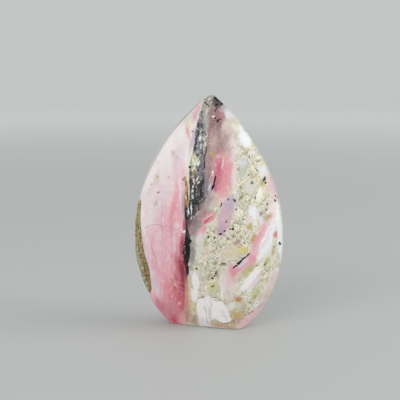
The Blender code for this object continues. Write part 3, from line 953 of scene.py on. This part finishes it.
# Laid over the contacts too: cream strands, bronze beside the vein, white chips and flecks, and painted
# glints and a painted highlight
LATE_MARKS = (
    (16.3, 70.6, 3.7, 0.27, 43, "worm", 0.7),
    (18.8, 79.9, 2.3, 0.23, 98, "worm", 0.7),
    (21.8, 75.0, 2.0, 0.23, 131, "worm", 0.7),
    (23.9, 63.6, 2.3, 0.28, 52, "worm", 0.7),
    (24.2, 80.8, 2.1, 0.28, 172, "worm", 0.7),
    (14.5, 54.8, 1.5, 0.18, 135, "worm", 0.7),
    (15.6, 55.9, 1.4, 0.18, 120, "worm", 0.7),
    (15.2, 63.2, 1.4, 0.41, 60, "seam", 0.7),
    (17.8, 64.7, 1.1, 0.41, 8, "tan_spot", 0.7),
    (23.2, 79.6, 1.2, 0.28, 5, "seam", 0.7),
    (19.0, 81.3, 0.8, 0.37, 100, "seam", 0.7),
    (22.4, 75.3, 1.0, 0.23, 140, "seam", 0.7),
    (12.7, 66.8, 1.6, 0.23, 35, "worm", 0.7),
    (17.6, 74.3, 1.8, 0.18, 60, "worm", 0.7),
    (-8.4, 52.8, 3.2, 0.9, 74, "dusk_brown", 0.9),
    (-2.6, 61.8, 1.8, 0.7, 52, "dusk_brown", 0.9),
    (-3.2, 59.0, 1.8, 0.7, 60, "mauve_brown", 0.9),
    (-11.7, 28.0, 5.6, 1.4, 92, "plum_red", 0.9),
    (-7.3, 89.0, 6.0, 0.9, 80, "dull_lilac", 0.5),
    (-8.7, 83.0, 3.6, 0.4, 86, "cream_line", 0.6),
    (-9.3, 73.6, 6.0, 0.45, 92, "cream_line", 0.6),
    (-8.9, 65.6, 3.8, 0.3, 88, "cream_line", 0.6),
    (-11.3, 71.6, 1.3, 0.55, 35, "bronze", 0.5),
    (-10.3, 69.2, 2.4, 0.65, 92, "bronze", 0.5),
    (-10.5, 64.2, 3.4, 0.7, 86, "bronze", 0.5),
    (-10.0, 60.6, 1.6, 0.9, 90, "bronze", 0.5),
    (-10.2, 66.8, 1.2, 0.3, 88, "amber", 0.6),
    (-10.4, 63.4, 1.0, 0.3, 88, "straw", 0.6),
    (-9.8, 60.6, 0.5, 0.4, 0, "amber", 0.6),
    (-23.3, 71.9, 0.45, 0.4, 0, "amber_tan", 0.7),
    (-23.2, 65.2, 0.4, 0.3, 0, "soot", 0.8),
    (-26.5, 68.3, 0.35, 0.25, 0, "tan", 0.9),
    (-25.6, 68.4, 0.3, 0.25, 0, "tan", 0.9),
    (-18.4, 72.0, 0.45, 0.35, 90, "stone_grey", 0.9),
    (13.6, 75.8, 0.55, 0.4, 60, "tan", 0.6),
    (20.4, 69.8, 0.7, 0.5, 60, "soot", 0.7),
    (2.2, 24.4, 2.0, 0.35, 20, "worm", 0.6),
    (1.9, 21.4, 0.65, 0.4, 40, "bark", 0.8),
    (21.8, 16.5, 0.7, 0.45, 60, "tan", 0.8),
    (20.2, 12.6, 1.4, 0.2, 122, "tan", 0.6),
    (18.9, 8.1, 0.5, 0.25, 30, "soot", 0.7),
    (20.8, 9.0, 0.7, 0.2, 40, "soot", 0.7),
    (17.3, 7.4, 0.35, 0.2, 0, "soot", 0.7),
    (14.2, 28.2, 2.6, 0.2, 46, "blush", 0.7),
    (17.8, 33.0, 2.6, 0.2, 42, "blush", 0.7),
    (-1.3, 67.9, 2.3, 1.0, 84, "grey_lilac", 0.9),
    (0.7, 67.6, 0.4, 0.25, 60, "milk", 0.6),
    (0.1, 66.5, 0.35, 0.25, 0, "milk", 0.6),
    (1.1, 68.6, 0.35, 0.25, 0, "milk", 0.6),
    (12.9, 56.7, 1.4, 0.2, 150, "worm", 0.6),
    (14.4, 55.5, 1.2, 0.2, 120, "worm", 0.6),
    (13.6, 54.2, 1.2, 0.2, 160, "worm", 0.6),
    # Painted glints: white highlights on a small chip by the crack
    (-12.5, 47.8, 0.5, 0.4, 30, "warm_white", 0.3),
    (-11.2, 47.1, 0.6, 0.4, 0, "warm_white", 0.3),
    (-11.9, 46.5, 0.4, 0.3, 0, "warm_white", 0.3),
    # A painted highlight beside the skin
    (-31.4, 55.6, 2.6, 0.7, 114, "warm_white", 0.5),
    # Painted glints: white highlights on small pits at the tip and down the ridge
    (2.3, 99.8, 0.7, 0.5, 20, "milk", 0.5),
    (0.5, 108.3, 0.6, 0.3, 60, "milk", 0.5),
    (1.9, 74.2, 1.1, 0.3, 84, "milk", 0.5),
    (-7.1, 68.2, 0.7, 0.3, 80, "grit_white", 0.6),
    (-7.3, 66.0, 0.8, 0.3, 70, "grit_white", 0.6),
    (-6.9, 63.4, 1.0, 0.5, 100, "cream", 0.5),
    (-4.6, 69.9, 0.8, 0.4, 30, "cream", 0.5),
    (-5.2, 71.6, 1.1, 0.4, 65, "cream", 0.5),
    (-6.8, 70.9, 1.4, 0.35, 95, "cream", 0.5),
    (-9.3, 57.0, 2.4, 0.28, 88, "cool_white", 0.5),
    (-7.8, 57.7, 2.4, 0.25, 88, "cool_white", 0.6),
    (-8.0, 53.6, 0.7, 0.2, 80, "cool_white", 0.6),
    (-6.6, 78.4, 1.6, 0.5, 100, "cream", 0.5),
    (-4.5, 78.7, 1.4, 0.4, 70, "cool_white", 0.5),
    (-6.8, 76.1, 0.9, 0.5, 30, "cream", 0.5),
    (-1.3, 87.8, 1.0, 0.4, 70, "straw_green", 0.5),
    (-3.6, 90.0, 1.4, 0.4, 80, "cool_white", 0.6),
    (-3.4, 86.6, 1.0, 0.35, 80, "cool_white", 0.6),
    (-0.8, 102.0, 1.6, 0.6, 80, "grey_blush", 0.6),
    (-5.4, 78.9, 1.8, 0.5, 70, "cream", 0.5),
)
# Where the host has most strands and grains
PEPPERED = (
    (20.0, 70.0, 18.0, 7.0, 116),
    (9.5, 46.0, 11.0, 7.0, 160),
    (25.5, 59.0, 7.0, 4.0, 90),
    (29.0, 33.0, 9.0, 2.6, 66),
    (15.5, 7.0, 7.0, 3.6, 35),
    (3.0, 30.0, 7.0, 4.0, 150),
)

# The fine host that the bits lie in: sage and cream in clouds, with curds of white and olive
cloud = grain(mm, 4.5, 3.0, 0.55)
curds = grain(crumbs, 1.9, 3.0, 0.6)
spots = grain(moved(crumbs, Location=(30.0, 0.0, 0.0)), 1.5, 3.0, 0.6)
flush = grain(moved(mm, Location=(50.0, 0.0, 0.0)), 5.0, 2.0)
host = over(cloud.ramp(0.4, 0.6), "sage", "cream")
host = over(flush.ramp(0.5, 0.64) * 0.7, host, "cream_pink")
host = over(curds.ramp(0.54, 0.68) * 0.7, host, "milk")
host = over(curds.fade(0.34, 0.47) * 0.75, host, "olive_cream")
host = over(spots.fade(0.34, 0.43) * 0.6, host, "tan_spot")


def broken_bits(place, size, names):
    """Angular bits: a number picked for each, its colour by that number, the way in from its edge."""
    cells = {"Vector": place, "Scale": 1 / size}
    pick = Field.node("TexVoronoi", {}, cells, "Color").red()
    stops = [(start, paint(name)) for start, name in names]
    tint = Field.node("ValToRGB", {"stops": stops, "interpolation": "CONSTANT"}, {0: pick})
    return pick, tint, Field.node("TexVoronoi", {"feature": "DISTANCE_TO_EDGE"}, cells)


# Small soft bits between the large ones. Each colour is given with the number that it starts from.
SMALL_BIT = 3.4
SMALL_COLOURS = (
    (0.0, "milk"),
    (0.3, "shell_pink"),
    (0.45, "pale_cream"),
    (0.6, "cool_white"),
    (0.75, "cream_pink"),
    (0.9, "sage"),
)
peppered = nearest(mm, PEPPERED, PEPPER_DEEP).ramp(0.3, 0.65)
small_pick, small, small_in = broken_bits(crumbs, SMALL_BIT, SMALL_COLOURS)
small_here = small_in.ramp(0.04, 0.22) * small_pick.out("Green").ramp(0.4, 0.46) * (0.8 - peppered * 0.6)
host = over(small_here, host, small)


def strokes(place, lean, size, long):
    """Noise drawn out along a direction, given above level."""
    sockets = {"Vector": place, "Rotation": (0.0, -np.radians(lean), 0.0), "Scale": (long, 1.0, 1.0)}
    return grain(Field.node("Mapping", {"vector_type": "TEXTURE"}, sockets), size, 2.0, 0.5)


# Short strands and strokes of cream and of olive brown, a few grains of white and of brown
squiggle = grain(moved(crumbs, Scale=(1.0, 1.0, 0.75)), 2.8, 2.0, 0.5, 0.6)
host = over(strokes(crumbs, 118.0, 1.0, 2.6).fade(0.36, 0.43) * (0.3 + peppered * 0.6), host, "olive_cream")
host = over(squiggle.off(0.555).fade(0.008, 0.028) * (0.2 + peppered * 0.55), host, "seam")
host = over(squiggle.off(0.5).fade(0.012, 0.038) * (0.35 + peppered * 0.6), host, "worm")
host = over(strokes(crumbs, 48.0, 0.9, 3.4).ramp(0.58, 0.65) * (0.3 + peppered * 0.65), host, "worm")
host = over(strokes(crumbs, 12.0, 0.8, 2.6).ramp(0.59, 0.65) * (0.3 + peppered * 0.3), host, "seam")
host = over(strokes(crumbs, 100.0, 0.7, 2.4).ramp(0.63, 0.68) * (0.2 + peppered * 0.35), host, "bark")
pebbles = Field.node("TexVoronoi", {}, {"Vector": crumbs, "Scale": 1 / 1.25})
pebble_pick = pebbles.out("Color").red()
host = over(pebbles.fade(0.25, 0.55) * pebble_pick.ramp(0.72, 0.82) * 0.6, host, "warm_white")
host = over(pebbles.fade(0.2, 0.45) * pebble_pick.fade(0.04, 0.06) * 0.8, host, "bark")

# The back and the sides have larger bits of their own
LARGE_BIT = 8.5
LARGE_COLOURS = (
    (0.0, "milk"),
    (0.18, "rose_band"),
    (0.28, "pale_cream"),
    (0.45, "shell_pink"),
    (0.6, "sand"),
    (0.72, "coral"),
    (0.78, "cool_white"),
    (0.9, "lilac_rose"),
)
bit_place = moved(warped(mm, 7.0, (6.0, 6.0, 6.0), 3.0), Scale=(1.0, 1.0, 0.6))
large, large_in = broken_bits(bit_place, LARGE_BIT, LARGE_COLOURS)[1:]
host = over(large_in.ramp(0.03, 0.12) * depth.ramp(-1.0, 5.0), host, large)

# The mauve zone, the tints, the bits and the seams over the host, with crumbling edges
crumbling = grain(crumbs, 1.3, 4.0, 0.7) - 0.5
mauve = over(up.ramp(84.0, 104.0), "mauve_pale", "mauve_brown")
mauve = over(grain(crumbs, 2.6, 3.0, 0.6).ramp(0.46, 0.62) * 0.8, mauve, "mauve_pink")
mauve = over(curds.ramp(0.54, 0.68) * 0.35, mauve, "cream_rose")
mauve = over(spots.fade(0.34, 0.44) * 0.5, mauve, "plum_rose")
mauve_mask = (nearest(crumbs, MAUVE_MARKS, BIT_DEEP) + crumbling * 0.7).ramp(0.3, 0.65)
breccia = over(mauve_mask, host, mauve)
breccia = lay_marks(breccia, crumbs, ZONE_MARKS, BIT_DEEP, crumbling * 0.9)
breccia = lay_marks(breccia, crumbs, BRECCIA_MARKS, BIT_DEEP, crumbling * 0.35)
breccia = over(curds.ramp(0.52, 0.66) * 0.12, breccia, "milk")
breccia = lay_marks(breccia, crumbs, BRECCIA_LINES, SEAM_DEEP, crumbling * 0.3)

# The layers meet along two contacts that waver. Black patches, chips and grains lie over them, and the
# left wall is greyer than the front: partly its own grey, partly painted shade.
rag = (grain(moved(layers, Scale=(1.0, 1.0, 0.5)), 1.5, 3.0, 0.6) - 0.5) * 1.6
side = Field.node("SeparateXYZ", {}, {0: layers}, "X") + rag
past_left = side - contact(up, VEIN_HEIGHTS, VEIN_LEFT)
past_right = side - contact(up, VEIN_HEIGHTS, VEIN_RIGHT)
after_left, after_right = past_left.ramp(-0.2, 0.2), past_right.ramp(-0.3, 0.3)
colour = over(after_left, slab, vein)
colour = over(after_right, colour, breccia)
edge = past_left.ramp(-0.4, 0.0) * past_left.fade(0.2, 0.6) * up.ramp(22.0, 27.0) * up.fade(54.0, 62.0)
colour = over(edge * depth.fade(-2.0, 0.0), colour, "black")
blacks = nearest(crumbs, BLACK_MARKS, BIT_DEEP) + (streaks - 0.5) * 0.35
coal = over(grit.ramp(0.48, 0.66) * 0.8, "black", "coal")
colour = over(blacks.ramp(0.45, 0.62), colour, coal)
colour = lay_marks(colour, crumbs, LATE_MARKS, LATE_DEEP, crumbling * 0.5)
dots = nearest(crumbs, DOTS, DOT_DEEP).ramp(0.3, 0.62)
colour = over(dots, colour, "ink")
mottle = (grain(crumbs, 0.9, 3.0, 0.7) - 0.5) * (after_right * (peppered * 0.12 + 0.24) + 0.16)
colour = Field.node("HueSaturation", {}, {"Value": mottle + 1.0, "Color": colour})
walled = Field.node("Attribute", {"attribute_name": "wall"}, {}, "Fac")
# Partly the ground face's own grey, partly painted shade where the left wall turns from the light, more of
# it high up
colour = over(walled * (0.15 + up.ramp(50.0, 62.0) * 0.5), colour, "wall_grey")
# Painted shade: the left wall darkens to taupe near the tip
colour = over(walled * up.ramp(92.0, 100.0) * 0.7, colour, "dark_taupe")

# Its skin is tan and pale above, grey green further back, rusty near the polished edge below
gravel = warped(mm, 0.9, (1.2, 1.2, 1.2))
skin_cloud = grain(mm, 2.6, 3.0, 0.6)
skin_crumb = grain(gravel, 1.0, 2.0, 0.6)
skin_specks = grain(moved(gravel, Location=(20.0, 0.0, 0.0)), 0.9, 2.0, 0.6)
patchy = (skin_cloud - 0.5) * 8.0
rusty = (up + patchy * 2.0).fade(32.0, 42.0) * (depth + patchy).fade(3.2, 4.6)
greenish = (up + patchy * 2.0).fade(36.0, 42.0) * (depth + patchy).ramp(3.6, 5.0)
skin = over((skin_crumb + skin_cloud * 0.5).ramp(0.66, 0.84), "skin_tan", "skin_pale")
skin = over(greenish * 0.85, skin, "lichen")
skin = over(rusty * 0.8, skin, "rust")
skin = over(skin_specks.ramp(0.56, 0.63) * 0.7, skin, "skin_light")
skin = over(skin_cloud.fade(0.4, 0.47) * 0.5, skin, "rust")
skin = over(skin_crumb.fade(0.39, 0.43), skin, "skin_dark")
skin_here = Field.node("Attribute", {"attribute_name": "skin"}, {}, "Fac")
skin_mask = (skin_here + (skin_crumb - 0.5) * 0.5).ramp(0.12, 0.3)
colour = over(skin_mask, colour, skin)

# A high polish, which is a little duller on the vein. The skin has none.
POLISH_ROUGHNESS, VEIN_DULLER, SKIN_ROUGHNESS = 0.16, 0.1, 0.75
RELIEF_HEIGHT, RELIEF_GRAIN = 0.3 * MM, 0.45
OPAL_IOR, OPAL_SHINE = 1.45, 0.3
vein_mask = after_left * past_right.fade(-0.3, 0.3)
roughness = (POLISH_ROUGHNESS + vein_mask * VEIN_DULLER).highest(skin_mask * SKIN_ROUGHNESS)
relief = grain(mm, RELIEF_GRAIN, 3.0, 0.6) * (vein_mask * 0.25 + skin_mask * 0.9 + 0.02)
bumps = Field.node("Bump", {}, {"Strength": 1.0, "Distance": RELIEF_HEIGHT, "Height": relief})

Field.tree.links.new(colour.socket, shader.inputs["Base Color"])
Field.tree.links.new(roughness.socket, shader.inputs["Roughness"])
Field.tree.links.new(bumps.socket, shader.inputs["Normal"])
shader.inputs["IOR"].default_value = OPAL_IOR
shader.inputs["Specular IOR Level"].default_value = OPAL_SHINE
stone_mesh.materials.append(opal)

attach(stone, "root")
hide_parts("pink_opal_stone")


# The floor. A wide plain sheet in pale grey, which brightens far away so that it meets the room's tone.
# Below the two windows it is darker, so that it isn't burnt out when the stone is seen from behind.

FLOOR_RADIUS = 5.0
FLOOR_NEAR = (0.6, 0.612, 0.606, 1)
FLOOR_FAR = (0.97, 0.985, 0.98, 1)
FLOOR_LIT = (0.3, 0.306, 0.303, 1)
FLOOR_NEAR_TO, FLOOR_FAR_FROM, FLOOR_LIT_TO = 0.3, 2.5, 1.7
FLOOR_ROUGHNESS, FLOOR_SHINE = 0.6, 0.2
WINDOW_RIGHT = (1.7, -0.3, 0.7)
WINDOW_LEFT = (-0.8, -1.4, 0.65)

floor_bm = bmesh.new()
bmesh.ops.create_circle(floor_bm, cap_ends=True, segments=128, radius=FLOOR_RADIUS)
floor_mesh = bpy.data.meshes.new("floor")
floor_bm.to_mesh(floor_mesh)
floor_bm.free()
floor = bpy.data.objects.new("floor", floor_mesh)
bpy.context.scene.collection.objects.link(floor)

pale = bpy.data.materials.new("pale_floor")
pale.use_nodes = True
Field.tree = pale.node_tree
floor_place = Field.node("TexCoord", {}, {}, "Object")
floor_away = Field.node("VectorMath", {"operation": "LENGTH"}, {0: floor_place}, "Value")
floor_tint = over(floor_away.ramp(FLOOR_NEAR_TO, FLOOR_FAR_FROM), FLOOR_NEAR, FLOOR_FAR)
for place in (WINDOW_RIGHT, WINDOW_LEFT):
    below = (place[0], place[1], 0.0)
    apart = Field.node("VectorMath", {"operation": "DISTANCE"}, {0: floor_place, 1: below}, "Value")
    floor_tint = over(apart.fade(0.0, FLOOR_LIT_TO), floor_tint, FLOOR_LIT)
floor_shader = pale.node_tree.nodes["Principled BSDF"]
Field.tree.links.new(floor_tint.socket, floor_shader.inputs["Base Color"])
floor_shader.inputs["Roughness"].default_value = FLOOR_ROUGHNESS
floor_shader.inputs["Specular IOR Level"].default_value = FLOOR_SHINE
floor_mesh.materials.append(pale)


# The light. Even daylight from all round, and two soft windows: one to the right, which draws a bright
# line down the right rim, and one in front to the left, so that the left wall stays a little darker.

ROOM_TONE = (0.55, 0.563, 0.56, 1)
ROOM_LIGHT = 1.0
WINDOW_AIM = (0, 0, 0.05)
WINDOW_SIZE = 1.2
POWER_RIGHT, POWER_LEFT = 14.0, 12.0


def window(name, place, power):
    """A square area light that looks at the middle of the stone."""
    light = bpy.data.lights.new(name, "AREA")
    light.shape = "SQUARE"
    light.size = WINDOW_SIZE
    light.energy = power
    holder = bpy.data.objects.new(name, light)
    holder.location = place
    holder.rotation_euler = (Vector(WINDOW_AIM) - Vector(place)).to_track_quat("-Z", "Y").to_euler()
    bpy.context.scene.collection.objects.link(holder)


window("window_right", WINDOW_RIGHT, POWER_RIGHT)
window("window_left", WINDOW_LEFT, POWER_LEFT)

room = bpy.data.worlds.new("room")
room.use_nodes = True
room.node_tree.nodes["Background"].inputs["Color"].default_value = ROOM_TONE
room.node_tree.nodes["Background"].inputs["Strength"].default_value = ROOM_LIGHT
bpy.context.scene.world = room
bpy.context.scene.view_settings.view_transform = "Standard"


# The camera. It stands 47 cm in front of the stone, a little above the tip, and looks slightly down.
# Its long lens leaves as much room round the stone as there is in the photograph.

CAMERA_PLACE = (-0.00382, -0.4693, 0.1188)
CAMERA_PITCH = 7.1
CAMERA_LENS, CAMERA_SENSOR = 90.0, 36.0

camera_data = bpy.data.cameras.new("camera")
camera_data.lens = CAMERA_LENS
camera_data.sensor_width = CAMERA_SENSOR
camera = bpy.data.objects.new("camera", camera_data)
camera.location = CAMERA_PLACE
camera.rotation_euler = (np.radians(90 - CAMERA_PITCH), 0, 0)
bpy.context.scene.collection.objects.link(camera)
bpy.context.scene.camera = camera
